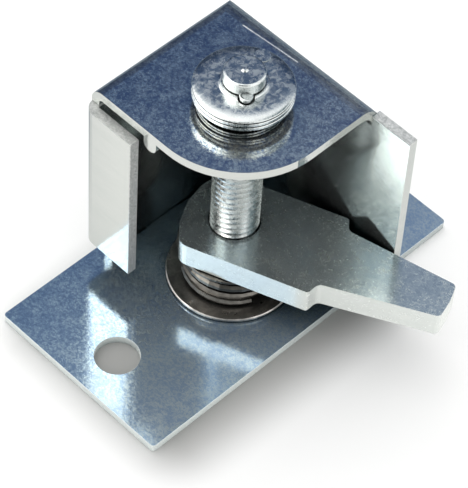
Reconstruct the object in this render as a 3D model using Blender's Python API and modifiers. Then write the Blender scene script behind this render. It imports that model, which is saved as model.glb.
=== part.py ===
"""Compression latch with an adjustable pawl, as a construction model.

A threaded spindle stands in a folded sheet housing on a mounting plate. Turning the spindle
swings the pawl against the housing's stop wall, and further turning draws the pawl along
the thread, so that it clamps. A coil spring under the pawl keeps the thread loaded.

Frame: origin on the spindle's axis in the underside of the mounting plate, +Z up, +X along
the plate's long side, -Y the open side that the pawl reaches out of. Lengths are in metres.
"""

import math

import bmesh
import bpy
from mathutils import Matrix, Vector

MM = 0.001

# Clearance between pieces that touch or pass through each other
CLEAR = 0.3 * MM

# Mounting plate
PLATE_THICK = 1.9 * MM
PLATE_LEFT = 41.3 * MM
PLATE_RIGHT = 42.1 * MM
PLATE_FRONT = 20.7 * MM
PLATE_BACK = 22.9 * MM
PLATE_CORNER = 0.8 * MM
PLATE_EDGE = 0.2 * MM
SCREW_HOLE_RADIUS = 4.65 * MM
SCREW_HOLE_REACH = 31.5 * MM

# Folded housing: outer faces of its walls, measured from the spindle's axis
SHEET = 2.0 * MM
HOUSING_HEIGHT = 51.3 * MM
HOUSING_LEFT = 20.4 * MM
HOUSING_RIGHT = 19.5 * MM
HOUSING_BACK = 22.1 * MM
BACK_BEND = 3.0 * MM
STOP_BEND = 5.3 * MM
CORNER_BEND = 2.5 * MM

# Top of the housing, with its rounded free corner
TOP_LEFT = 18.2 * MM
TOP_FRONT = 17.5 * MM
TOP_CORNER = 19.0 * MM
TOP_LUG_WIDTH = 3.3 * MM
TOP_LUG_DROP = 5.0 * MM
TOP_LUG_PLACE = 6.1 * MM
TOP_LUG_ROUND = 0.6 * MM

# Stop wall on the right, which carries on past the top's front edge
STOP_FRONT = 27.2 * MM
STOP_HEIGHT = 48.8 * MM

# Short wall on the left, cut clear of the plate and of the top
SIDE_FRONT = 8.9 * MM
SIDE_FOOT = 8.2 * MM
SIDE_HEIGHT = 47.3 * MM
BACK_FOOT_INSET = 6.0 * MM

# Tabs of the housing in slots of the plate
TAB_WIDTH = 9.0 * MM
BACK_TAB_PLACE = 9.5 * MM
STOP_TAB_PLACE = 2.0 * MM
TAB_RECESS = 0.2 * MM

# Spindle, turned from one bar
THREAD_RADIUS = 5.0 * MM
BARREL_RADIUS = 6.6 * MM
BARREL_HEIGHT = 7.4 * MM
JOURNAL_RADIUS = 3.9 * MM
BUTTON_RADIUS = 4.1 * MM
BUTTON_FOOT_RADIUS = 4.15 * MM
BUTTON_HEIGHT = 2.47 * MM
BUTTON_ROUND = 0.42 * MM
BUTTON_RIM = 0.12 * MM
BUTTON_UNDERCUT = 0.12 * MM
THREAD_CHAMFER = 0.5 * MM
PIP_RADIUS = 0.75 * MM
PIP_HEIGHT = 0.35 * MM
DRIVE_RADIUS = 4.5 * MM
DRIVE_DEPTH = 6.4 * MM
DRIVE_PIN_RADIUS = 1.7 * MM
DRIVE_BIT_WIDTH = 1.9 * MM
DRIVE_BIT_REACH = 3.5 * MM

# Friction stack on top of the housing: bowed spring washers, which lie off centre by their
# play on the journal, then two friction washers and the cap
BOW_RADIUS = 8.85 * MM
BOW_THICK = 0.4 * MM
BOW_RISE = 0.6 * MM
BOW_COUNT = 2
BOW_ANGLE = math.radians(205.0)
BOW_PLAY = 0.45 * MM
BOW_PLAY_ANGLE = math.radians(190.0)
FRICTION_RADIUS = 9.85 * MM
FRICTION_THICK = 0.72 * MM
FRICTION_COUNT = 2
CAP_RADIUS = 9.75 * MM
CAP_THICK = 0.66 * MM
CAP_ROUND = 2.75 * MM
CAP_EDGE = 0.1 * MM
COLLAR_RADIUS = 4.45 * MM
COLLAR_HEIGHT = 0.68 * MM
COLLAR_FILLET = 0.6 * MM
STUD_RADIUS = 1.65 * MM
STUD_REACH = 7.7 * MM
STUD_ANGLE = math.radians(18.4)
STUD_RISE = 0.16 * MM

# Stake that keys the cap to the spindle: metal driven down from a hollow in the button's side
# into a notch of the cap's collar
STAKE_ANGLE = math.radians(230.4)
NOTCH_RADIUS = 1.65 * MM
NOTCH_REACH = 4.15 * MM
NOTCH_DEPTH = 0.25 * MM
HOLLOW_RADIUS = 1.4 * MM
HOLLOW_DEPTH = 0.5 * MM
HOLLOW_HEIGHT = 1.7 * MM
STAKE_LAP = 0.05 * MM

# Spring and washers between the plate and the pawl
BASE_WASHER_RADIUS = 13.35 * MM
BASE_WASHER_THICK = 0.8 * MM
THRUST_RADIUS = 11.2 * MM
THRUST_THICK = 0.8 * MM
WIRE_RADIUS = 0.9 * MM
SPRING_RADIUS = 9.5 * MM
SPRING_TURNS = 3.0
SPRING_END_ANGLE = math.radians(249.0)
SPRING_CLOSED_PITCH = 1.92 * MM

# Pawl, with its arm along its own +X before it is turned to rest on the stop wall
PAWL_TOP = 16.5 * MM
PAWL_THICK = 5.8 * MM
PAWL_HALF_WIDTH = 10.4 * MM
PAWL_BACK = 10.3 * MM
PAWL_BACK_ARC = 20.0 * MM
PAWL_BACK_CORNER = 2.6 * MM
PAWL_SHOULDER = 20.4 * MM
PAWL_SHOULDER_CORNER = 0.7 * MM
ARM_ROOT = 22.4 * MM
ARM_ROOT_HALF = 7.5 * MM
ARM_ROOT_FILLET = 1.6 * MM
ARM_TIP = 45.7 * MM
ARM_TIP_HALF = 4.35 * MM
ARM_TIP_CORNER = 1.1 * MM
PAWL_EDGE = 0.3 * MM
PAWL_COUNTERSINK = 0.6 * MM

# Facets of round shapes, and the reach within which points of a cut edge are merged
ROUND_STEPS = 64
CORNER_STEPS = 6
WELD = 0.002 * MM

# Heights over the plate's top, from which each stack is built up
FLOOR = PLATE_THICK
TOP_FACE = FLOOR + HOUSING_HEIGHT
BASE_WASHER_FOOT = FLOOR + CLEAR
SPRING_FOOT = BASE_WASHER_FOOT + BASE_WASHER_THICK + CLEAR
PAWL_FOOT = FLOOR + PAWL_TOP - PAWL_THICK
THRUST_FOOT = PAWL_FOOT - CLEAR - THRUST_THICK
SPRING_HEAD = THRUST_FOOT - CLEAR
BOW_STEP = BOW_THICK + CLEAR
BOW_FOOT = TOP_FACE + CLEAR
FLAT_FOOT = BOW_FOOT + BOW_COUNT * BOW_STEP + BOW_RISE
FRICTION_FOOT = FLAT_FOOT + BOW_STEP
FRICTION_STEP = FRICTION_THICK + CLEAR
CAP_FOOT = FRICTION_FOOT + FRICTION_COUNT * FRICTION_STEP
CAP_FACE = CAP_FOOT + CAP_THICK
COLLAR_HEAD = CAP_FACE + COLLAR_HEIGHT
JOURNAL_HEAD = COLLAR_HEAD + CLEAR
SPINDLE_HEAD = JOURNAL_HEAD + BUTTON_HEIGHT

STEEL = "zinc_plated_steel"
SPRING_STEEL = "oiled_spring_steel"

COLOURS = {
    STEEL: ((0.56, 0.60, 0.66, 1.0), 0.28, 1.0),
    SPRING_STEEL: ((0.30, 0.27, 0.25, 1.0), 0.42, 1.0),
}


def clear_scene():
    """Start from an empty scene, with one collection for the latch and one for its cutters."""
    for thing in list(bpy.data.objects):
        bpy.data.objects.remove(thing, do_unlink=True)
    for name in ("compression_latch", "cutters"):
        bpy.context.scene.collection.children.link(bpy.data.collections.new(name))


def material(node, kind):
    """A Principled BSDF material of the given kind, one for each piece."""
    colour, roughness, metallic = COLOURS[kind]
    made = bpy.data.materials.new(f"{node}_{kind}")
    made.use_nodes = True
    shader = made.node_tree.nodes["Principled BSDF"]
    shader.inputs["Base Color"].default_value = colour
    shader.inputs["Roughness"].default_value = roughness
    shader.inputs["Metallic"].default_value = metallic
    return made


def add_object(name, data, collection="compression_latch"):
    """Link a new object that holds the given mesh or curve."""
    made = bpy.data.objects.new(name, data)
    bpy.data.collections[collection].objects.link(made)
    return made


def finish(piece, kind, sharp_degrees=35.0):
    """Give a piece its material and smooth shading with sharp edges."""
    piece.data.materials.clear()
    piece.data.materials.append(material(piece.name, kind))
    if piece.type == "MESH":
        piece.data.shade_smooth()
        piece.data.set_sharp_from_angle(angle=math.radians(sharp_degrees))
    return piece


def rounded_outline(corners, steps=CORNER_STEPS):
    """Points of a closed outline whose corners (x, y, radius) are rounded by arcs."""
    points = []
    for index, (x, y, radius) in enumerate(corners):
        here = Vector((x, y))
        before = (Vector(corners[index - 1][:2]) - here).normalized()
        after = (Vector(corners[(index + 1) % len(corners)][:2]) - here).normalized()
        if radius <= 0.0:
            points.append(here)
            continue
        half_angle = before.angle(after) / 2.0
        centre = here + (before + after).normalized() * radius / math.sin(half_angle)
        start = here + before * radius / math.tan(half_angle) - centre
        end = here + after * radius / math.tan(half_angle) - centre
        turn = start.angle_signed(end)
        for step in range(steps + 1):
            points.append(centre + Matrix.Rotation(-turn * step / steps, 2) @ start)
    return points


def circle_outline(radius, centre=(0.0, 0.0), steps=ROUND_STEPS):
    """Points of a circle."""
    return [
        Vector((centre[0] + radius * math.cos(2.0 * math.pi * step / steps),
                centre[1] + radius * math.sin(2.0 * math.pi * step / steps)))
        for step in range(steps)
    ]


def box_outline(left, right, front, back):
    """Points of a rectangle."""
    return [Vector((left, front)), Vector((right, front)), Vector((right, back)), Vector((left, back))]


def to_mesh(source):
    """Turn a curve object into a mesh object with welded caps, and remove the curve."""
    evaluated = source.evaluated_get(bpy.context.evaluated_depsgraph_get())
    mesh = bpy.data.meshes.new_from_object(evaluated)
    mesh.transform(source.matrix_world)
    shape = bmesh.new()
    shape.from_mesh(mesh)
    bmesh.ops.remove_doubles(shape, verts=shape.verts, dist=0.001 * MM)
    bmesh.ops.recalc_face_normals(shape, faces=shape.faces)
    shape.to_mesh(mesh)
    shape.free()
    name, collection = source.name, source.users_collection[0].name
    bpy.data.objects.remove(source, do_unlink=True)
    return add_object(name, mesh, collection)


PLANES = {
    "XY": Matrix.Identity(4),
    "XZ": Matrix(((1, 0, 0, 0), (0, 0, -1, 0), (0, 1, 0, 0), (0, 0, 0, 1))),
    "YZ": Matrix(((0, 0, 1, 0), (1, 0, 0, 0), (0, 1, 0, 0), (0, 0, 0, 1))),
}


def extrusion(name, loops, start, end, plane="XY", collection="compression_latch"):
    """A flat outline with its holes, extruded from start to end across its plane."""
    curve = bpy.data.curves.new(name, "CURVE")
    curve.dimensions = "2D"
    curve.fill_mode = "BOTH"
    curve.extrude = abs(end - start) / 2.0
    for loop in loops:
        spline = curve.splines.new("POLY")
        spline.points.add(len(loop) - 1)
        for point, place in zip(spline.points, loop):
            point.co = (place.x, place.y, 0.0, 1.0)
        spline.use_cyclic_u = True
    made = add_object(name, curve, collection)
    middle = (start + end) / 2.0 * (-1.0 if plane == "XZ" else 1.0)
    made.matrix_world = PLANES[plane] @ Matrix.Translation((0.0, 0.0, middle))
    bpy.context.view_layer.update()
    return to_mesh(made)


def turned(name, profile, steps=ROUND_STEPS, closed=True):
    """A turned shape: the profile (radius, height) runs down its outer side and is revolved."""
    shape = bmesh.new()
    points = [shape.verts.new((radius, 0.0, height)) for radius, height in profile]
    for first, second in zip(points, points[1:]):
        shape.edges.new((first, second))
    if closed:
        shape.edges.new((points[-1], points[0]))
    mesh = bpy.data.meshes.new(name)
    shape.to_mesh(mesh)
    shape.free()
    made = add_object(name, mesh)
    screw = made.modifiers.new("turn", "SCREW")
    screw.axis = "Z"
    screw.steps = screw.render_steps = steps
    screw.use_merge_vertices = True
    screw.merge_threshold = 0.001 * MM
    return apply_modifiers(made)


def apply_modifiers(piece):
    """Replace a piece's mesh by its evaluated one."""
    bpy.context.view_layer.update()
    evaluated = piece.evaluated_get(bpy.context.evaluated_depsgraph_get())
    mesh = bpy.data.meshes.new_from_object(evaluated)
    piece.modifiers.clear()
    piece.data = mesh
    return piece


def weld(piece, reach):
    """Merge points that lie closer together than the given reach."""
    shape = bmesh.new()
    shape.from_mesh(piece.data)
    bmesh.ops.remove_doubles(shape, verts=shape.verts, dist=reach)
    bmesh.ops.dissolve_degenerate(shape, edges=shape.edges, dist=reach)
    shape.to_mesh(piece.data)
    shape.free()
    return piece


def combine(piece, other, operation):
    """Join or cut a piece with another one, which is used up."""
    change = piece.modifiers.new("combine", "BOOLEAN")
    change.operation = operation
    change.solver = "EXACT"
    change.object = other
    apply_modifiers(piece)
    bpy.data.objects.remove(other, do_unlink=True)
    return weld(piece, WELD)


def cut(piece, cutter):
    """Cut a cutter out of a piece."""
    cutter.hide_render = True
    cutter.display_type = "WIRE"
    return combine(piece, cutter, "DIFFERENCE")


def box(name, left, right, front, back, low, high, collection="compression_latch"):
    """A box between six planes."""
    mesh = bpy.data.meshes.new(name)
    shape = bmesh.new()
    bmesh.ops.create_cube(shape, size=1.0)
    size = Matrix.Diagonal((right - left, back - front, high - low, 1.0))
    middle = Matrix.Translation(((left + right) / 2.0, (front + back) / 2.0, (low + high) / 2.0))
    shape.transform(middle @ size)
    shape.to_mesh(mesh)
    shape.free()
    return add_object(name, mesh, collection)


def rod(name, radius, length, place, collection="compression_latch", steps=32):
    """A cylinder along +Z, moved to its place by a matrix."""
    mesh = bpy.data.meshes.new(name)
    shape = bmesh.new()
    bmesh.ops.create_cone(shape, cap_ends=True, segments=steps, radius1=radius, radius2=radius,
                          depth=length)
    shape.transform(place)
    shape.to_mesh(mesh)
    shape.free()
    return add_object(name, mesh, collection)


def soften(piece, width, segments=2, degrees=40.0):
    """Round the edges of a piece by a bevel."""
    bevel = piece.modifiers.new("edge", "BEVEL")
    bevel.width = width
    bevel.segments = segments
    bevel.limit_method = "ANGLE"
    bevel.angle_limit = math.radians(degrees)
    bevel.use_clamp_overlap = True
    return apply_modifiers(piece)


def tab_boxes():
    """Footprints (left, right, front, back) of the housing's tabs in the plate."""
    back_face = HOUSING_BACK - SHEET
    right_face = HOUSING_RIGHT - SHEET
    boxes = [
        (place - TAB_WIDTH / 2.0, place + TAB_WIDTH / 2.0, back_face, HOUSING_BACK)
        for place in (-BACK_TAB_PLACE, BACK_TAB_PLACE)
    ]
    boxes.append((right_face, HOUSING_RIGHT, STOP_TAB_PLACE - TAB_WIDTH / 2.0,
                  STOP_TAB_PLACE + TAB_WIDTH / 2.0))
    return boxes


def mounting_plate():
    """Flat plate with two screw holes, the spindle's hole and slots for the housing's tabs."""
    outline = rounded_outline([
        (-PLATE_LEFT, -PLATE_FRONT, PLATE_CORNER),
        (PLATE_RIGHT, -PLATE_FRONT, PLATE_CORNER),
        (PLATE_RIGHT, PLATE_BACK, PLATE_CORNER),
        (-PLATE_LEFT, PLATE_BACK, PLATE_CORNER),
    ])
    holes = [circle_outline(SCREW_HOLE_RADIUS, (side * SCREW_HOLE_REACH, 0.0), 40)
             for side in (-1.0, 1.0)]
    holes.append(circle_outline(BARREL_RADIUS + CLEAR, steps=48))
    slots = []
    for left, right, front, back in tab_boxes():
        slots.append(box_outline(left - CLEAR, right + CLEAR, front - CLEAR, back + CLEAR))
    plate = extrusion("mounting_plate", [outline] + holes + slots, 0.0, PLATE_THICK)
    return finish(soften(plate, PLATE_EDGE, segments=1), STEEL)


def wall_block(name, inset, low, front):
    """Solid block of the folded housing, inset by the sheet: three extrusions intersected.

    The side view holds the bend at the back, the front view the bend over the stop wall,
    and the plan the two upright corner bends.
    """
    left, right = -HOUSING_LEFT + inset, HOUSING_RIGHT - inset
    back, high = HOUSING_BACK - inset, TOP_FACE - inset
    far = HOUSING_LEFT + HOUSING_RIGHT
    side_view = rounded_outline([(-front, low, 0.0), (back, low, 0.0),
                                 (back, high, BACK_BEND - inset), (-front, high, 0.0)])
    front_view = rounded_outline([(left, low, 0.0), (right, low, 0.0),
                                  (right, high, STOP_BEND - inset), (left, high, 0.0)], 8)
    plan = rounded_outline([(left, -front, 0.0), (right, -front, 0.0),
                            (right, back, CORNER_BEND - inset), (left, back, CORNER_BEND - inset)])
    block = extrusion(name, [side_view], -far, far, "YZ")
    combine(block, extrusion("front_view", [front_view], -far, far, "XZ", "cutters"), "INTERSECT")
    combine(block, extrusion("plan", [plan], -far, far + high, "XY", "cutters"), "INTERSECT")
    return block


def housing_bracket():
    """Folded sheet housing: back wall, stop wall, short side wall and top, in one piece."""
    foot = FLOOR + CLEAR
    beyond = STOP_FRONT + HOUSING_BACK
    bracket = wall_block("housing_bracket", 0.0, foot, TOP_FRONT)
    cut(bracket, wall_block("hollow", SHEET, foot - SHEET, beyond))
    # The short side wall ends under the top, behind its front edge and over the plate
    side = -HOUSING_LEFT - SHEET
    inner_left = -HOUSING_LEFT + SHEET
    cut(bracket, box("side_top", side, -TOP_LEFT, -beyond, beyond, FLOOR + SIDE_HEIGHT,
                     TOP_FACE + SHEET, "cutters"))
    cut(bracket, box("side_front", side, inner_left + CLEAR, -beyond, SIDE_FRONT, 0.0,
                     FLOOR + SIDE_HEIGHT, "cutters"))
    # The foot under the side wall is cut away, and the back wall's foot with it up to its inset
    cut(bracket, box("side_foot", side, -HOUSING_LEFT + BACK_FOOT_INSET, -beyond, beyond, 0.0,
                     FLOOR + SIDE_FOOT, "cutters"))
    # The free corner of the top is rounded about the spindle
    corner = [Vector((-TOP_LEFT - SHEET, -TOP_FRONT - SHEET))]
    corner += [Vector((0.0, -TOP_FRONT - SHEET)), Vector((0.0, -TOP_FRONT))]
    corner += rounded_outline([(TOP_CORNER - TOP_LEFT, -TOP_FRONT, 0.0),
                               (-TOP_LEFT, -TOP_FRONT, TOP_CORNER),
                               (-TOP_LEFT, TOP_CORNER - TOP_FRONT, 0.0)], 18)[1:-1]
    corner.append(Vector((-TOP_LEFT - SHEET, TOP_CORNER - TOP_FRONT)))
    cut(bracket, extrusion("top_corner", [corner], FLOOR + SIDE_HEIGHT, TOP_FACE + SHEET, "XY",
                           "cutters"))
    # A round-ended lug hangs from the left edge of the top
    lug_low = TOP_FACE - TOP_LUG_DROP
    lug = rounded_outline([
        (TOP_LUG_PLACE - TOP_LUG_WIDTH / 2.0, TOP_FACE - SHEET / 2.0, 0.0),
        (TOP_LUG_PLACE - TOP_LUG_WIDTH / 2.0, lug_low, TOP_LUG_WIDTH * 0.48),
        (TOP_LUG_PLACE + TOP_LUG_WIDTH / 2.0, lug_low, TOP_LUG_WIDTH * 0.48),
        (TOP_LUG_PLACE + TOP_LUG_WIDTH / 2.0, TOP_FACE - SHEET / 2.0, 0.0)])
    hanging = extrusion("lug", [lug], -TOP_LEFT, -TOP_LEFT + SHEET, "YZ")
    combine(bracket, soften(hanging, TOP_LUG_ROUND, 3), "UNION")
    # The stop wall carries on flat in front of the top
    combine(bracket, box("stop", HOUSING_RIGHT - SHEET, HOUSING_RIGHT, -STOP_FRONT, 0.0, foot,
                         FLOOR + STOP_HEIGHT - (STOP_BEND - SHEET)), "UNION")
    combine(bracket, box("stop_horn", HOUSING_RIGHT - SHEET, HOUSING_RIGHT, -STOP_FRONT,
                         -TOP_FRONT, foot, FLOOR + STOP_HEIGHT), "UNION")
    for left, right, front, back in tab_boxes():
        combine(bracket, box("tab", left, right, front, back, TAB_RECESS, foot + SHEET), "UNION")
    cut(bracket, rod("spindle_hole", JOURNAL_RADIUS + CLEAR, 4.0 * SHEET,
                     Matrix.Translation((0.0, 0.0, TOP_FACE)), "cutters", 48))
    return finish(weld(bracket, 5.0 * WELD), STEEL)


def spindle():
    """Turned spindle: drive barrel, threaded length, journal and end button staked to the cap."""
    thread_foot = FLOOR + BARREL_HEIGHT
    thread_head = TOP_FACE - SHEET - CLEAR
    profile = [
        (0.0, SPINDLE_HEAD + PIP_HEIGHT),
        (PIP_RADIUS / 2.0, SPINDLE_HEAD + PIP_HEIGHT),
        (PIP_RADIUS, SPINDLE_HEAD),
    ]
    for step in range(CORNER_STEPS // 2 + 1):
        turn = math.pi * step / CORNER_STEPS
        profile.append((BUTTON_RADIUS - BUTTON_ROUND * (1.0 - math.sin(turn)),
                        SPINDLE_HEAD - BUTTON_ROUND * (1.0 - math.cos(turn))))
    rim_foot = SPINDLE_HEAD - BUTTON_ROUND - BUTTON_RIM
    profile += [
        (BUTTON_RADIUS, rim_foot),
        (BUTTON_RADIUS - BUTTON_UNDERCUT, rim_foot - BUTTON_RIM),
        (BUTTON_FOOT_RADIUS, JOURNAL_HEAD),
        (JOURNAL_RADIUS, JOURNAL_HEAD),
        (JOURNAL_RADIUS, thread_head),
        (THREAD_RADIUS - THREAD_CHAMFER, thread_head),
        (THREAD_RADIUS, thread_head - THREAD_CHAMFER),
        (THREAD_RADIUS, thread_foot),
        (BARREL_RADIUS - THREAD_CHAMFER, thread_foot),
        (BARREL_RADIUS, thread_foot - THREAD_CHAMFER),
        (BARREL_RADIUS, 0.0),
        (0.0, 0.0),
    ]
    made = turned("spindle", profile, 48, closed=False)
    cut(made, stake_hollow())
    # The stake lies in the cap's notch, clear of it all round
    stake_foot = CAP_FACE - NOTCH_DEPTH + CLEAR
    stake_height = JOURNAL_HEAD + STAKE_LAP - stake_foot
    stake = rod("stake", NOTCH_RADIUS - CLEAR, stake_height,
                stake_axis(NOTCH_REACH, stake_foot + stake_height / 2.0), steps=24)
    combine(made, soften(stake, CLEAR / 2.0, degrees=60.0), "UNION")
    # Drive recess in the lower end, with its centre pin and two bits left standing
    recess = rod("drive_recess", DRIVE_RADIUS, 2.0 * DRIVE_DEPTH, Matrix.Identity(4), "cutters", 40)
    bits = box("drive_bits", -DRIVE_BIT_REACH, DRIVE_BIT_REACH, -DRIVE_BIT_WIDTH / 2.0,
               DRIVE_BIT_WIDTH / 2.0, -4.0 * DRIVE_DEPTH, 4.0 * DRIVE_DEPTH, "cutters")
    core = rod("drive_pin", DRIVE_PIN_RADIUS, 6.0 * DRIVE_DEPTH, Matrix.Identity(4), "cutters", 24)
    cut(recess, combine(core, bits, "UNION"))
    cut(made, recess)
    return finish(made, STEEL)


def stake_axis(reach, height):
    """Matrix that sets a shape on the stake's side of the spindle."""
    return Matrix.Rotation(STAKE_ANGLE, 4, "Z") @ Matrix.Translation((reach, 0.0, height))


def stake_hollow():
    """Slanted round cutter that leaves the hollow above the stake in the button's side."""
    slant = math.atan2(HOLLOW_DEPTH, HOLLOW_HEIGHT)
    reach = BUTTON_FOOT_RADIUS - HOLLOW_DEPTH + HOLLOW_RADIUS / math.cos(slant)
    length = HOLLOW_HEIGHT + 4.0 * HOLLOW_DEPTH
    place = (stake_axis(reach, JOURNAL_HEAD) @ Matrix.Rotation(slant, 4, "Y")
             @ Matrix.Translation((0.0, 0.0, length / 2.0 - HOLLOW_DEPTH)))
    return rod("stake_hollow", HOLLOW_RADIUS, length, place, "cutters")


def washer(name, outer, inner, low, thick, edge, kind):
    """Flat washer with its outer edge broken."""
    high = low + thick
    profile = [(inner, high), (outer - edge, high), (outer, high - edge), (outer, low + edge),
               (outer - edge, low), (inner, low)]
    return finish(turned(name, profile), kind)


def spring_washers():
    """Two bowed spring washers and a flat one over them, which load the friction stack."""
    inner = JOURNAL_RADIUS + CLEAR + BOW_PLAY
    for index in range(BOW_COUNT):
        low = BOW_FOOT + index * BOW_STEP
        profile = [(inner, low + BOW_THICK), (BOW_RADIUS, low + BOW_THICK), (BOW_RADIUS, low),
                   (inner, low)]
        made = turned(f"spring_washer_{index + 1}", profile, 48)
        across = Vector((-math.sin(BOW_ANGLE), math.cos(BOW_ANGLE)))
        for point in made.data.vertices:
            point.co.z += BOW_RISE * (point.co.xy.dot(across) / BOW_RADIUS) ** 2
        off_centre(finish(made, SPRING_STEEL))
    off_centre(washer(f"spring_washer_{BOW_COUNT + 1}", BOW_RADIUS, inner, FLAT_FOOT, BOW_THICK,
                      BOW_THICK / 5.0, SPRING_STEEL))


def off_centre(piece):
    """Shift a spring washer by its play on the journal."""
    piece.data.transform(Matrix.Translation((BOW_PLAY * math.cos(BOW_PLAY_ANGLE),
                                             BOW_PLAY * math.sin(BOW_PLAY_ANGLE), 0.0)))
    return piece


def cap_washer():
    """Top washer with a rounded rim, a collar notched for the stake and a low round stud."""
    inner = JOURNAL_RADIUS + CLEAR
    profile = [(inner, COLLAR_HEAD), (COLLAR_RADIUS, COLLAR_HEAD)]
    for step in range(CORNER_STEPS + 1):
        turn = math.pi / 2.0 * step / CORNER_STEPS
        profile.append((COLLAR_RADIUS + COLLAR_FILLET * (1.0 - math.cos(turn)),
                        CAP_FACE + COLLAR_FILLET * (1.0 - math.sin(turn))))
    drop = CAP_THICK - CAP_EDGE
    rim_steps = 2 * CORNER_STEPS
    for step in range(rim_steps + 1):
        turn = math.pi / 2.0 * step / rim_steps
        profile.append((CAP_RADIUS - CAP_ROUND * (1.0 - math.sin(turn)),
                        CAP_FACE - drop * (1.0 - math.cos(turn))))
    profile += [(CAP_RADIUS, CAP_FOOT), (inner, CAP_FOOT)]
    cap = turned("cap_washer", profile)
    stud_height = CAP_THICK + STUD_RISE
    stud_place = Matrix.Translation((STUD_REACH * math.cos(STUD_ANGLE), STUD_REACH * math.sin(STUD_ANGLE),
                                     CAP_FOOT + stud_height / 2.0))
    combine(cap, soften(rod("stud", STUD_RADIUS, stud_height, stud_place, steps=24),
                        STUD_RISE / 3.0, degrees=60.0), "UNION")
    notch_height = 4.0 * COLLAR_HEIGHT
    cut(cap, rod("notch", NOTCH_RADIUS, notch_height,
                 stake_axis(NOTCH_REACH, CAP_FACE - NOTCH_DEPTH + notch_height / 2.0), "cutters"))
    return finish(cap, STEEL)


def compression_spring():
    """Coil spring with closed ends, wound left-handed from its lower end."""
    curve = bpy.data.curves.new("compression_spring", "CURVE")
    curve.dimensions = "3D"
    curve.bevel_depth = WIRE_RADIUS
    curve.bevel_resolution = 2
    curve.use_fill_caps = True
    foot = SPRING_FOOT + WIRE_RADIUS
    rise = SPRING_HEAD - WIRE_RADIUS - foot
    spare = rise - SPRING_CLOSED_PITCH * SPRING_TURNS
    count = int(28 * SPRING_TURNS)
    spline = curve.splines.new("POLY")
    spline.points.add(count)
    for index, point in enumerate(spline.points):
        share = index / count
        turns = SPRING_TURNS * share
        blend = min(max((turns - 0.75) / (SPRING_TURNS - 1.5), 0.0), 1.0)
        height = foot + SPRING_CLOSED_PITCH * turns + spare * blend * blend * (3.0 - 2.0 * blend)
        angle = SPRING_END_ANGLE - 2.0 * math.pi * turns
        point.co = (SPRING_RADIUS * math.cos(angle), SPRING_RADIUS * math.sin(angle), height, 1.0)
    return finish(add_object("compression_spring", curve), SPRING_STEEL)


def arm_taper():
    """Angle between the arm's flank and its centre line."""
    return math.atan2(ARM_ROOT_HALF - ARM_TIP_HALF, ARM_TIP - ARM_ROOT)


def pawl_rest_angle():
    """Angle about +Z at which the pawl lies against the stop wall, clear of it.

    Either the arm's flank meets the wall's front edge or the shoulder meets its face,
    whichever comes first.
    """
    face = HOUSING_RIGHT - SHEET - CLEAR
    taper = arm_taper()
    flank = (ARM_ROOT_HALF + ARM_ROOT * math.tan(taper)) * math.cos(taper)
    edge = Vector((face, -STOP_FRONT))
    by_flank = (math.atan2(edge.y, edge.x) - math.pi / 2.0 + taper
                + math.acos(min(flank / edge.length, 1.0)))
    shoulder = Vector((PAWL_SHOULDER, PAWL_HALF_WIDTH))
    by_shoulder = -math.acos(face / shoulder.length) - math.atan2(shoulder.y, shoulder.x)
    return min(by_flank, by_shoulder)


def pawl():
    """Flat pawl: broad threaded head, stepped shoulders and a tapered arm."""
    back_drop = PAWL_BACK_ARC - math.sqrt(PAWL_BACK_ARC ** 2 - PAWL_HALF_WIDTH ** 2)
    half = [
        (-PAWL_BACK + back_drop, PAWL_HALF_WIDTH, PAWL_BACK_CORNER),
        (PAWL_SHOULDER, PAWL_HALF_WIDTH, PAWL_SHOULDER_CORNER),
        (PAWL_SHOULDER + (ARM_ROOT - PAWL_SHOULDER) / 2.0, ARM_ROOT_HALF, ARM_ROOT_FILLET),
        (ARM_TIP, ARM_TIP_HALF, ARM_TIP_CORNER),
    ]
    lower = [(x, -y, radius) for x, y, radius in reversed(half)]
    tip = [(ARM_TIP + ARM_TIP_CORNER / 3.0, 0.0, 0.0)]
    back_steps = (-0.5, 0.0, 0.5)
    back = [(-PAWL_BACK + back_drop * (share * 2.0) ** 2 * 0.25, PAWL_HALF_WIDTH * share, 0.0)
            for share in back_steps]
    outline = rounded_outline(half + tip + lower + back)
    hole = circle_outline(THREAD_RADIUS + CLEAR, steps=48)
    made = extrusion("pawl", [outline, hole], PAWL_FOOT, PAWL_FOOT + PAWL_THICK)
    soften(made, PAWL_EDGE)
    made.data.transform(Matrix.Rotation(pawl_rest_angle(), 4, "Z"))
    return finish(made, STEEL)


def build():
    """Build every piece of the latch."""
    clear_scene()
    mounting_plate()
    housing_bracket()
    spindle()
    spring_washers()
    shaft_hole = JOURNAL_RADIUS + CLEAR
    for index in range(FRICTION_COUNT):
        washer(f"friction_washer_{index + 1}", FRICTION_RADIUS, shaft_hole,
               FRICTION_FOOT + index * FRICTION_STEP, FRICTION_THICK, 0.12 * MM, STEEL)
    cap_washer()
    washer("base_washer", BASE_WASHER_RADIUS, BARREL_RADIUS + CLEAR, BASE_WASHER_FOOT,
           BASE_WASHER_THICK, 0.2 * MM, SPRING_STEEL)
    compression_spring()
    washer("thrust_washer", THRUST_RADIUS, THREAD_RADIUS + CLEAR, THRUST_FOOT, THRUST_THICK,
           0.15 * MM, SPRING_STEEL)
    pawl()


build()
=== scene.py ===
"""Looks of the compression latch: zinc-plated steel on a pale floor in soft studio light."""

import math

import bmesh
import bpy
from mathutils import Matrix, Vector

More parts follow.
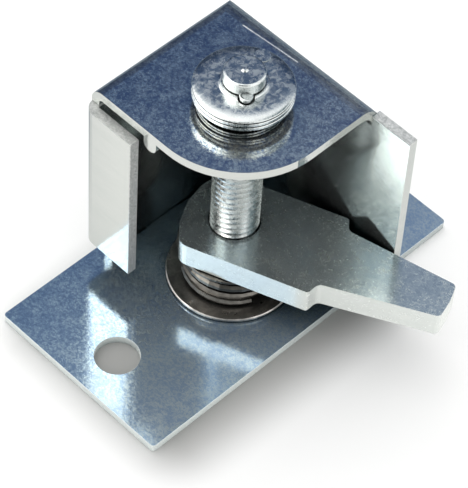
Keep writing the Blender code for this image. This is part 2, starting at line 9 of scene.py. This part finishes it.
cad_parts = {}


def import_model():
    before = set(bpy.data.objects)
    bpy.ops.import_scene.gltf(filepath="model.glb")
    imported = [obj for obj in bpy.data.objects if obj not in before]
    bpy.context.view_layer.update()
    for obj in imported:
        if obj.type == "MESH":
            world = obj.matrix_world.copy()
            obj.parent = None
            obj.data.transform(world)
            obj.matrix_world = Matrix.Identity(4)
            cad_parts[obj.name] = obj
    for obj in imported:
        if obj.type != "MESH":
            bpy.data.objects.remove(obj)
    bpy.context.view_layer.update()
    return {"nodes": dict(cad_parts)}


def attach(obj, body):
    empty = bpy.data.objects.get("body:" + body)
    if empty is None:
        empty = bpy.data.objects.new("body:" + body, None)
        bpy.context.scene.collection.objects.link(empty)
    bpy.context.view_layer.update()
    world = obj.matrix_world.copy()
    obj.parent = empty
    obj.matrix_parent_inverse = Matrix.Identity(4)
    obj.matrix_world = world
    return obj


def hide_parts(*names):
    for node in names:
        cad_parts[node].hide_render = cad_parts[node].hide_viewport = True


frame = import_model()

MM = 0.001
BACKWARD = Vector((0.0, 1.0, 0.0))
UP = Vector((0.0, 0.0, 1.0))
WHITE = (1.0, 1.0, 1.0)

# Camera, fitted to the edges of the plate, housing, washers and pawl in the photograph
CAMERA_PLACE = Vector((-245.684, -224.790, 424.310)) * MM
CAMERA_FORWARD = Vector((0.462966, 0.423009, -0.778926))
CAMERA_RIGHT = Vector((0.713218, -0.699560, 0.044003))
CAMERA_LENS = 195.2
CAMERA_SENSOR = 36.0
CAMERA_NEAREST = 10.0 * MM

# Thread of the spindle: a V with a narrow flat crest, which fades out over half a turn at both ends
THREAD_PITCH = 1.5 * MM
THREAD_MAJOR = 5.0 * MM
THREAD_MINOR = 4.15 * MM
THREAD_SINK = 0.1 * MM
THREAD_ROOT_HALF = THREAD_PITCH * 0.46
THREAD_CREST_HALF = THREAD_PITCH * 0.09
THREAD_STEPS = 40
THREAD_FADE_STEPS = THREAD_STEPS / 2.0
THREAD_LEAST_HEIGHT = 0.05
THREAD_SHARP_ANGLE = math.radians(40.0)
RADIUS_TOLERANCE = 0.02 * MM

# Rounding of sharp edges, for each node that has it
EDGE_ROUND = {"housing_bracket": 0.22 * MM, "mounting_plate": 0.34 * MM, "pawl": 0.34 * MM}
EDGE_ANGLE = math.radians(30.0)
EDGE_SEGMENTS = 2

# Noise patterns: scale, detail, roughness, distortion and stretch along X, Y and Z
PLATED_GRAIN = (1100.0, 4.0, 0.65, 0.3)
PLATED_CLOUDS = (330.0, 4.0, 0.7, 0.8)
PLATED_FLECKS = (2100.0, 4.0, 0.8, 0.8, (1.0, 0.7, 1.0))
PLATED_STREAKS = (900.0, 4.0, 0.65, 0.0, (0.10, 0.10, 1.0))
TURNED_GRAIN = (1300.0, 4.0, 0.6, 0.2)
TURNED_PATCHES = (800.0, 4.0, 0.6, 0.6)
SPRING_GRAIN = (2400.0, 2.0)
SPRING_PATCHES = (420.0, 4.0, 0.65, 0.4)

# Height of the grain
PLATED_RELIEF = 0.014 * MM
PAWL_RELIEF = 0.009 * MM
TURNED_RELIEF = 0.014 * MM
SPRING_RELIEF = 0.012 * MM

# Tones along a noise pattern: a place in it and the shares of the material's colour there
METAL_FLECKS = ((0.43, (0.40, 0.50, 0.72)), (0.50, (0.94, 0.96, 1.0)), (0.56, (1.45, 1.42, 1.34)))
FILM_FLECKS = ((0.42, (0.40, 0.50, 0.70)), (0.50, WHITE), (0.57, (2.0, 1.6, 1.25)))
STREAK_TONES = ((0.36, (0.97, 0.97, 0.96)), (0.62, (1.02, 1.01, 1.0)))
SHEARED_TONES = ((0.38, (0.55, 0.57, 0.56)), (0.60, (1.0, 1.0, 0.99)))
TURNED_TONES = ((0.36, (0.88, 0.88, 0.88)), (0.62, (1.06, 1.06, 1.06)))
SPRING_TONES = ((0.35, (0.60, 0.60, 0.60)), (0.66, (1.15, 1.15, 1.15)))

# Stretch of the noise pattern over which the film or the roughness changes
FILM_STRETCH = (0.40, 0.60)
PLATED_STRETCH = (0.42, 0.60)
TURNED_STRETCH = (0.40, 0.66)
SPRING_STRETCH = (0.3, 0.7)

# Share of the clouds in the pattern of plated faces
CLOUD_SHARE = 0.30

# The film is thinner on the palest flecks, by this share. Between the two depths below it also grows from
# back to front: painted light that makes level faces lighter at the front and darker at the back
FILM_THINNEST = 0.7
PAINTED_LIGHT_FRONT = -20.0 * MM
PAINTED_LIGHT_BACK = 22.0 * MM

# Roughness of spring steel at the two ends of its stretch
SPRING_DULL = 0.40
SPRING_RUBBED = 0.25

# A face counts as level by the upward part of its normal: not below the first, fully from the second
LEVEL_FROM = 0.5
LEVEL_FULL = 0.95

# Shade in corners and between pieces: how open a place is where the shade is full and where it ends
SHADE_FULL = 0.18
SHADE_ENDS = 0.57
SHADE_SAMPLES = 6

# Reach of that shade and its darkest tone, for each finish
PLATED_SHADE = (22.0 * MM, (0.015, 0.06, 0.07))
TURNED_SHADE = (4.0 * MM, (0.12, 0.13, 0.13))
SPRING_SHADE = (3.5 * MM, (0.03, 0.03, 0.025))

# Sheared faces, whose cut is rougher: their lowest and highest corners in mm, and their grey
SHEARED = (
    # Top of the stop wall's front corner
    ((16.9, -28.0, 50.3), (20.4, -17.6, 52.0), 0.80),
    # Front and top of the short wall on the left
    ((-21.0, 8.0, 9.0), (-18.0, 9.1, 48.8), 0.60),
    ((-21.0, 8.0, 48.9), (-17.0, 23.0, 49.5), 0.66),
)
SHEARED_SOFT = 0.15 * MM
SHEARED_ROUGHNESS = 0.60

# Painted highlight beside the right-hand bend: a white, rougher line on the top sheet where the bend begins
HIGHLIGHT_LINE_START = Vector((14.12, 14.26, 0.0)) * MM
HIGHLIGHT_LINE_END = Vector((15.12, 0.30, 0.0)) * MM
HIGHLIGHT_LINE_WIDTH = 0.30 * MM
HIGHLIGHT_LINE_ROUGHNESS = 0.6

# Floor: half its size, how far it lies below the latch, and its roughness
FLOOR_HALF = 3.0
FLOOR_DROP = 0.02 * MM
FLOOR_ROUGHNESS = 0.9

# Soft shade on the floor, under and in front of the plate: the block where it is full, and its reach
FLOOR_SHADE_MIDDLE = Vector((-10.5, -3.2, 0.0)) * MM
FLOOR_SHADE_HALF = Vector((24.5, 17.2, 1000.0)) * MM
FLOOR_SHADE_REACH = 15.0 * MM

# Colour of the floor in that shade and outside it
FLOOR_SHADED = (0.40, 0.40, 0.39)
FLOOR_OPEN = (0.955, 0.955, 0.95)

# The way to the far side of the studio, which metal reflects as dark
FAR = Vector((0.738, 0.674, 0.0))

# Floor as the metal reflects it, by the distance that way between two limits
FLOOR_NEAREST = -0.2
FLOOR_FARTHEST = 0.2
FLOOR_SEEN = ((0.48, (1.02, 1.01, 0.98)), (0.62, (0.18, 0.22, 0.26)))

# Sky as the metal reflects it, by how far the ray leads that way
SKY = (
    (0.0, (1.1, 1.12, 1.1)), (0.30, (1.7, 1.7, 1.68)), (0.50, (1.25, 1.27, 1.27)),
    (0.70, (1.5, 1.5, 1.48)), (0.745, (1.35, 1.38, 1.42)), (0.765, (0.66, 0.70, 0.73)),
    (0.782, (0.15, 0.24, 0.35)), (0.800, (0.085, 0.155, 0.28)), (0.830, (0.06, 0.115, 0.22)),
    (0.85, (0.02, 0.06, 0.16)), (0.92, (0.03, 0.05, 0.09)),
)

# Spots in that sky: direction, colour, and the cosines at which a spot begins and is full
SPOTS = (
    # Soft box high on the left
    (Vector((-0.463, 0.423, 0.779)), (4.1, 4.05, 3.85), 0.84, 0.95),
    # Dark spot high in front
    (Vector((-0.463, -0.423, 0.779)), (0.015, 0.04, 0.045), 0.91, 0.96),
    # Dark spot high on the right
    (Vector((0.463, -0.423, 0.779)), (0.12, 0.19, 0.21), 0.90, 0.96),
)

# Plain light of the world, and the lamp: where its light comes from, its spread and its power
AMBIENT = (1.05, 1.05, 1.05)
LAMP_PLACE = Vector((0.16, 0.44, 0.62))
LAMP_SPREAD = math.radians(50.0)
LAMP_POWER = 0.55


def new_material(name):
    """An empty node material with its Principled BSDF."""
    made = bpy.data.materials.new(name)
    made.use_nodes = True
    return made, made.node_tree, made.node_tree.nodes["Principled BSDF"]


def new_object(name, data):
    """An object in the scene."""
    made = bpy.data.objects.new(name, data)
    bpy.context.scene.collection.objects.link(made)
    return made


def feed(tree, socket, value):
    """Link a source to a socket, or set the socket to a number or a colour."""
    if isinstance(value, bpy.types.NodeSocket):
        tree.links.new(value, socket)
    elif isinstance(value, tuple):
        socket.default_value = (*value, 1.0)
    else:
        socket.default_value = value


def own_place(tree):
    """The place in the object's own metres."""
    return tree.nodes.new("ShaderNodeTexCoord").outputs["Object"]


def noise(tree, scale, detail, roughness=0.5, distortion=0.0, stretch=(1.0, 1.0, 1.0)):
    """A noise texture in the object's own metres; its Fac output is returned."""
    mapping = tree.nodes.new("ShaderNodeMapping")
    mapping.inputs["Scale"].default_value = stretch
    texture = tree.nodes.new("ShaderNodeTexNoise")
    texture.inputs["Scale"].default_value = scale
    texture.inputs["Detail"].default_value = detail
    texture.inputs["Roughness"].default_value = roughness
    texture.inputs["Distortion"].default_value = distortion
    tree.links.new(own_place(tree), mapping.inputs["Vector"])
    tree.links.new(mapping.outputs["Vector"], texture.inputs["Vector"])
    return texture.outputs["Fac"]


def ramp(tree, source, stops):
    """A colour ramp over a grey source; stops are (place, colour)."""
    made = tree.nodes.new("ShaderNodeValToRGB")
    elements = made.color_ramp.elements
    while len(elements) > 1:
        elements.remove(elements[-1])
    for index, (place, colour) in enumerate(stops):
        element = elements[0] if index == 0 else elements.new(place)
        element.position = place
        element.color = (*colour, 1.0)
    tree.links.new(source, made.inputs["Fac"])
    return made.outputs["Color"]


def span(tree, source, low, high, start=0.0, end=1.0):
    """A grey source between start and end, mapped to low and high."""
    made = tree.nodes.new("ShaderNodeMapRange")
    made.inputs["From Min"].default_value = start
    made.inputs["From Max"].default_value = end
    made.inputs["To Min"].default_value = low
    made.inputs["To Max"].default_value = high
    tree.links.new(source, made.inputs["Value"])
    return made.outputs["Result"]


def mixed(tree, first, second, share, blend="MIX", kind="RGBA"):
    """Two colours, mixed by a share; each of the three is a constant or a source."""
    made = tree.nodes.new("ShaderNodeMix")
    made.data_type = kind
    made.blend_type = blend
    feed(tree, made.inputs["Factor"], share)
    feed(tree, made.inputs["A"], first)
    feed(tree, made.inputs["B"], second)
    return made.outputs["Result"]


def mixed_grey(tree, first, second, share):
    """Two greys, mixed by a share; each of the three is a number or a source."""
    return mixed(tree, first, second, share, kind="FLOAT")


def product(tree, first, second):
    """Two grey sources multiplied."""
    made = tree.nodes.new("ShaderNodeMath")
    made.operation = "MULTIPLY"
    tree.links.new(first, made.inputs[0])
    tree.links.new(second, made.inputs[1])
    return made.outputs["Value"]


def along(tree, source, direction):
    """How far a vector reaches along a direction."""
    made = tree.nodes.new("ShaderNodeVectorMath")
    made.operation = "DOT_PRODUCT"
    made.inputs[1].default_value = direction
    tree.links.new(source, made.inputs[0])
    return made.outputs["Value"]


def bump(tree, shader, source, distance):
    """Raise the surface by a grey source."""
    made = tree.nodes.new("ShaderNodeBump")
    made.inputs["Strength"].default_value = 1.0
    made.inputs["Distance"].default_value = distance
    tree.links.new(source, made.inputs["Height"])
    tree.links.new(made.outputs["Normal"], shader.inputs["Normal"])


def shaded(tree, colour, shade):
    """A colour that darkens in corners and between pieces, within the shade's reach."""
    reach, deepest = shade
    made = tree.nodes.new("ShaderNodeAmbientOcclusion")
    made.inputs["Distance"].default_value = reach
    made.samples = SHADE_SAMPLES
    share = ramp(tree, made.outputs["AO"], [(SHADE_FULL, deepest), (SHADE_ENDS, WHITE)])
    return mixed(tree, colour, share, 1.0, "MULTIPLY")


def level_share(tree):
    """One on faces that lie level, nought on upright ones."""
    normal = tree.nodes.new("ShaderNodeNewGeometry").outputs["Normal"]
    return span(tree, along(tree, normal, UP), 0.0, 1.0, LEVEL_FROM, LEVEL_FULL)


def share_within(tree, sides, soft):
    """One between all sides and nought outside them; a side is (direction, low, high)."""
    place = own_place(tree)
    share = None
    for direction, low, high in sides:
        reach = along(tree, place, direction)
        inside = product(tree, span(tree, reach, 0.0, 1.0, low - soft, low + soft),
                         span(tree, reach, 1.0, 0.0, high - soft, high + soft))
        share = inside if share is None else product(tree, share, inside)
    return share


def line_share(tree, start, end, width):
    """One on a straight line in the level plane, nought beside it."""
    ahead = (end - start).normalized()
    aside = Vector((-ahead.y, ahead.x, 0.0))
    middle = start.dot(aside)
    half = width / 2.0
    sides = ((ahead, start.dot(ahead), end.dot(ahead)), (aside, middle - half, middle + half))
    return share_within(tree, sides, half)


def box_share(tree, lowest, highest, soft):
    """One inside a box of the object's own space, nought outside it."""
    axes = [Vector([1.0 if part == axis else 0.0 for part in range(3)]) for axis in range(3)]
    return share_within(tree, zip(axes, lowest, highest), soft)


def scaled(colour, shares, amount=1.0):
    """A colour with its parts scaled, by an amount of the way."""
    return tuple(part * (1.0 + (share - 1.0) * amount) for part, share in zip(colour, shares))


def toned(tree, pattern, colour, tones):
    """A colour that changes along a pattern."""
    return ramp(tree, pattern, [(place, scaled(colour, shares)) for place, shares in tones])


def flecked(tree, pattern, colour, flecks, contrast):
    """A colour with flecks; contrast says how far the darkest and palest stray from it."""
    amounts = (contrast, 1.0, contrast)
    return ramp(tree, pattern, [(place, scaled(colour, shares, amount))
                                for (place, shares), amount in zip(flecks, amounts)])


def with_marks(tree, tone, uneven, flecks):
    """The housing's colour and roughness, with its sheared faces and a painted highlight line beside the
    right-hand bend.
    """
    for lowest, highest, grey in SHEARED:
        sheared = box_share(tree, Vector(lowest) * MM, Vector(highest) * MM, SHEARED_SOFT)
        rough = toned(tree, flecks, (grey, grey, grey), SHEARED_TONES)
        tone = mixed(tree, tone, rough, sheared)
        uneven = mixed_grey(tree, uneven, SHEARED_ROUGHNESS, sheared)
    # Painted highlight: a white line on the top sheet beside the right-hand bend
    painted_highlight = line_share(tree, HIGHLIGHT_LINE_START, HIGHLIGHT_LINE_END, HIGHLIGHT_LINE_WIDTH)
    return mixed(tree, tone, WHITE, painted_highlight), mixed_grey(tree, uneven, HIGHLIGHT_LINE_ROUGHNESS, painted_highlight)


def plated_steel(name, smooth, rough, base, contrast, haze, blue, upright=0.06, pale=1.0, front_painted_light=0.0,
                 tint=1.0, relief=PLATED_RELIEF, marks=False):
    """Zinc-plated steel: bright metal under a thin dull film, with bluish flecks on level faces.

    smooth and rough are the limits of the roughness, base the metal's colour, and contrast that of
    its flecks. On level faces the film has the share haze and the colour blue, gains the share
    thicker at the front and loses it at the back, and colours the reflections by tint; that gain
    and loss are painted light, lighter at the front and darker at the back. Upright faces have the
    share upright and are brighter by pale, painted light that brightens or darkens them. relief is
    the grain's height, and marks adds the housing's own marks, among them a painted highlight line.
    """
    made, tree, shader = new_material(name)
    flecks = noise(tree, *PLATED_FLECKS)
    pattern = mixed_grey(tree, flecks, noise(tree, *PLATED_CLOUDS), CLOUD_SHARE)
    level = level_share(tree)
    metal = flecked(tree, pattern, base, METAL_FLECKS, contrast)
    # Painted light: pale scales the colour of upright faces, brightening the plate's edges and slightly
    # darkening the sheet's sides
    calm = toned(tree, noise(tree, *PLATED_STREAKS), [pale * part for part in base], STREAK_TONES)

    # The film has its own colour on level faces and the metal's on upright ones
    thin = span(tree, pattern, haze, FILM_THINNEST * haze, *FILM_STRETCH)
    # Painted light: the film's share grows from back to front, so level faces turn lighter at the front and
    # darker at the back
    backward = along(tree, own_place(tree), BACKWARD)
    film_with_painted_light = product(tree, span(tree, backward, 1.0 + front_painted_light, 1.0 - front_painted_light, PAINTED_LIGHT_FRONT, PAINTED_LIGHT_BACK), thin)
    film = mixed(tree, calm, flecked(tree, pattern, blue, FILM_FLECKS, contrast), level)
    film_tint = mixed_grey(tree, upright, span(tree, thin, 0.0, tint), level)
    tone = mixed(tree, mixed(tree, calm, metal, level), film, film_tint)
    tree.links.new(span(tree, mixed_grey(tree, upright, film_with_painted_light, level), 1.0, 0.0), shader.inputs["Metallic"])

    uneven = span(tree, pattern, smooth, rough, *PLATED_STRETCH)
    if marks:
        tone, uneven = with_marks(tree, tone, uneven, flecks)
    tree.links.new(shaded(tree, tone, PLATED_SHADE), shader.inputs["Base Color"])
    tree.links.new(uneven, shader.inputs["Roughness"])
    bump(tree, shader, noise(tree, *PLATED_GRAIN), relief)
    return made


def turned_steel(name, smooth=0.18, rough=0.36, base=(0.70, 0.73, 0.73)):
    """Bright turned and plated steel with a slightly uneven skin."""
    made, tree, shader = new_material(name)
    shader.inputs["Metallic"].default_value = 1.0
    patches = noise(tree, *TURNED_PATCHES)
    tone = toned(tree, patches, base, TURNED_TONES)
    tree.links.new(shaded(tree, tone, TURNED_SHADE), shader.inputs["Base Color"])
    tree.links.new(span(tree, patches, smooth, rough, *TURNED_STRETCH), shader.inputs["Roughness"])
    bump(tree, shader, noise(tree, *TURNED_GRAIN), TURNED_RELIEF)
    return made


def spring_steel(name, base=(0.17, 0.16, 0.145)):
    """Brown-grey spring steel, dull, with brighter rubbed spots."""
    made, tree, shader = new_material(name)
    shader.inputs["Metallic"].default_value = 1.0
    patches = noise(tree, *SPRING_PATCHES)
    tone = toned(tree, patches, base, SPRING_TONES)
    uneven = span(tree, patches, SPRING_DULL, SPRING_RUBBED, *SPRING_STRETCH)
    tree.links.new(shaded(tree, tone, SPRING_SHADE), shader.inputs["Base Color"])
    tree.links.new(uneven, shader.inputs["Roughness"])
    bump(tree, shader, noise(tree, *SPRING_GRAIN), SPRING_RELIEF)
    return made


def dress(material, *nodes):
    """Put a material on CAD nodes."""
    for node in nodes:
        materials = frame["nodes"][node].data.materials
        materials.clear()
        materials.append(material)


def round_edges(node, width):
    """Round a node's sharp edges, so that they catch the light."""
    bevel = frame["nodes"][node].modifiers.new("edge", "BEVEL")
    bevel.width = width
    bevel.segments = EDGE_SEGMENTS
    bevel.limit_method = "ANGLE"
    bevel.angle_limit = EDGE_ANGLE
    bevel.harden_normals = True


def thread_ridge(foot, head):
    """The thread's ridge, swept up a right-handed helix between two heights."""
    root = THREAD_MINOR - THREAD_SINK
    section = [(root, -THREAD_ROOT_HALF), (THREAD_MAJOR, -THREAD_CREST_HALF),
               (THREAD_MAJOR, THREAD_CREST_HALF), (root, THREAD_ROOT_HALF)]
    turns = (head - foot - THREAD_PITCH) / THREAD_PITCH
    count = int(turns * THREAD_STEPS)
    shape = bmesh.new()
    rings = []
    for index in range(count + 1):
        angle = 2.0 * math.pi * index / THREAD_STEPS
        height = foot + THREAD_PITCH / 2.0 + THREAD_PITCH * index / THREAD_STEPS
        fade = min(1.0, index / THREAD_FADE_STEPS, (count - index) / THREAD_FADE_STEPS)
        ring = []
        for radius, rise in section:
            reach = root + (radius - root) * max(fade, THREAD_LEAST_HEIGHT)
            ring.append(shape.verts.new((reach * math.cos(angle), reach * math.sin(angle), height + rise)))
        rings.append(ring)
    for lower, upper in zip(rings, rings[1:]):
        for side in range(len(section)):
            other = (side + 1) % len(section)
            shape.faces.new((lower[side], upper[side], upper[other], lower[other]))
    shape.faces.new(rings[0])
    shape.faces.new(list(reversed(rings[-1])))
    bmesh.ops.recalc_face_normals(shape, faces=shape.faces)
    mesh = bpy.data.meshes.new("spindle_thread")
    shape.to_mesh(mesh)
    shape.free()
    return mesh


def threaded_spindle(material):
    """The spindle with its thread cut: a copy of the CAD node with a slimmer core, and the ridge."""
    mesh = frame["nodes"]["spindle"].data.copy()
    heights = []
    for vertex in mesh.vertices:
        radius = math.hypot(vertex.co.x, vertex.co.y)
        if abs(radius - THREAD_MAJOR) < RADIUS_TOLERANCE:
            heights.append(round(vertex.co.z, 6))
            vertex.co.x *= THREAD_MINOR / radius
            vertex.co.y *= THREAD_MINOR / radius
    body = new_object("spindle_body", mesh)
    body.data.materials.clear()
    body.data.materials.append(material)
    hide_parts("spindle")
    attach(body, "spindle")

    thread = new_object("spindle_thread", thread_ridge(min(heights), max(heights)))
    thread.data.materials.append(material)
    thread.data.shade_smooth()
    thread.data.set_sharp_from_angle(angle=THREAD_SHARP_ANGLE)
    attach(thread, "spindle")


def floor_shade(tree):
    """Nought in the full part of the floor's soft shade, one outside its reach."""
    outside = own_place(tree)
    for operation, other in (("SUBTRACT", FLOOR_SHADE_MIDDLE), ("ABSOLUTE", None),
                             ("SUBTRACT", FLOOR_SHADE_HALF), ("MAXIMUM", Vector()), ("LENGTH", None)):
        step = tree.nodes.new("ShaderNodeVectorMath")
        step.operation = operation
        tree.links.new(outside, step.inputs[0])
        if other is not None:
            step.inputs[1].default_value = other
        outside = step.outputs["Value" if operation == "LENGTH" else "Vector"]
    soft = tree.nodes.new("ShaderNodeMapRange")
    soft.interpolation_type = "SMOOTHSTEP"
    soft.inputs["From Max"].default_value = FLOOR_SHADE_REACH
    tree.links.new(outside, soft.inputs["Value"])
    return soft.outputs["Result"]


def stage():
    """A pale floor under the latch, which reflections see dark behind it."""
    mesh = bpy.data.meshes.new("floor")
    shape = bmesh.new()
    bmesh.ops.create_grid(shape, x_segments=1, y_segments=1, size=FLOOR_HALF)
    shape.to_mesh(mesh)
    shape.free()
    floor = new_object("floor", mesh)
    floor.location.z = -FLOOR_DROP
    made, tree, shader = new_material("floor")
    shader.inputs["Roughness"].default_value = FLOOR_ROUGHNESS
    shader.inputs["Specular IOR Level"].default_value = 0.0
    reach = span(tree, along(tree, own_place(tree), FAR), 0.0, 1.0, FLOOR_NEAREST, FLOOR_FARTHEST)
    seen = ramp(tree, reach, FLOOR_SEEN)
    shown = ramp(tree, floor_shade(tree), [(0.0, FLOOR_SHADED), (1.0, FLOOR_OPEN)])
    path = tree.nodes.new("ShaderNodeLightPath")
    tree.links.new(mixed(tree, shown, seen, path.outputs["Is Glossy Ray"]), shader.inputs["Base Color"])
    floor.data.materials.append(made)


def world():
    """Plain light for the floor, and the bright and dark sides that the metal reflects."""
    made = bpy.data.worlds.new("studio")
    bpy.context.scene.world = made
    made.use_nodes = True
    tree = made.node_tree
    background = tree.nodes["Background"]
    ray = tree.nodes.new("ShaderNodeTexCoord").outputs["Generated"]
    seen = ramp(tree, span(tree, along(tree, ray, FAR), 0.0, 1.0, -1.0, 1.0), SKY)
    for direction, colour, begins, full in SPOTS:
        spot = span(tree, along(tree, ray, direction), 0.0, 1.0, begins, full)
        seen = mixed(tree, seen, colour, spot)
    path = tree.nodes.new("ShaderNodeLightPath")
    tree.links.new(mixed(tree, AMBIENT, seen, path.outputs["Is Glossy Ray"]), background.inputs["Color"])
    background.inputs["Strength"].default_value = 1.0


def lamp():
    """Broad, far light from behind; no reflection shows it."""
    data = bpy.data.lights.new("key", "SUN")
    data.angle = LAMP_SPREAD
    data.energy = LAMP_POWER
    made = new_object("key", data)
    made.location = LAMP_PLACE
    made.visible_glossy = False
    made.rotation_euler = (-LAMP_PLACE).to_track_quat("-Z", "Y").to_euler()


def camera():
    """The camera of the photograph."""
    data = bpy.data.cameras.new("camera")
    data.lens = CAMERA_LENS
    data.sensor_width = CAMERA_SENSOR
    data.clip_start = CAMERA_NEAREST
    made = new_object("camera", data)
    forward = CAMERA_FORWARD.normalized()
    right = (CAMERA_RIGHT - forward * CAMERA_RIGHT.dot(forward)).normalized()
    up = right.cross(forward)
    turn = Matrix((right, up, -forward)).transposed()
    made.matrix_world = Matrix.Translation(CAMERA_PLACE) @ turn.to_4x4()
    bpy.context.scene.camera = made


def dress_all():
    """Materials and edge rounding of every piece."""
    sheet = plated_steel("zinc_sheet", smooth=0.08, rough=0.15, base=(0.64, 0.67, 0.66), contrast=1.0,
                         haze=0.10, blue=(0.19, 0.36, 0.64), pale=0.95, front_painted_light=0.5, marks=True)
    plate = plated_steel("zinc_plate", smooth=0.09, rough=0.17, base=(0.63, 0.67, 0.67), contrast=0.5,
                         haze=0.33, blue=(0.12, 0.34, 0.60), upright=0.5, pale=1.35, front_painted_light=0.55,
                         tint=1.4)
    pawl = plated_steel("zinc_pawl", smooth=0.17, rough=0.28, base=(0.73, 0.77, 0.76), contrast=0.18,
                        haze=0.13, blue=(0.32, 0.55, 0.60), upright=0.35, pale=1.02,
                        relief=PAWL_RELIEF)
    turned = turned_steel("zinc_turned_steel")
    worn = turned_steel("dull_washer_steel", 0.22, 0.36, (0.42, 0.42, 0.40))
    dark = spring_steel("brown_spring_steel")
    ring = spring_steel("brown_ring_steel", (0.50, 0.48, 0.46))
    dress(sheet, "housing_bracket")
    dress(plate, "mounting_plate")
    dress(pawl, "pawl")
    dress(turned, "cap_washer", "friction_washer_1", "friction_washer_2")
    dress(worn, "spring_washer_1", "spring_washer_2", "spring_washer_3")
    dress(dark, "compression_spring", "thrust_washer")
    dress(ring, "base_washer")
    for node, width in EDGE_ROUND.items():
        round_edges(node, width)
    threaded_spindle(turned)


dress_all()
stage()
world()
lamp()
camera()

bpy.context.scene.view_settings.view_transform = "Standard"
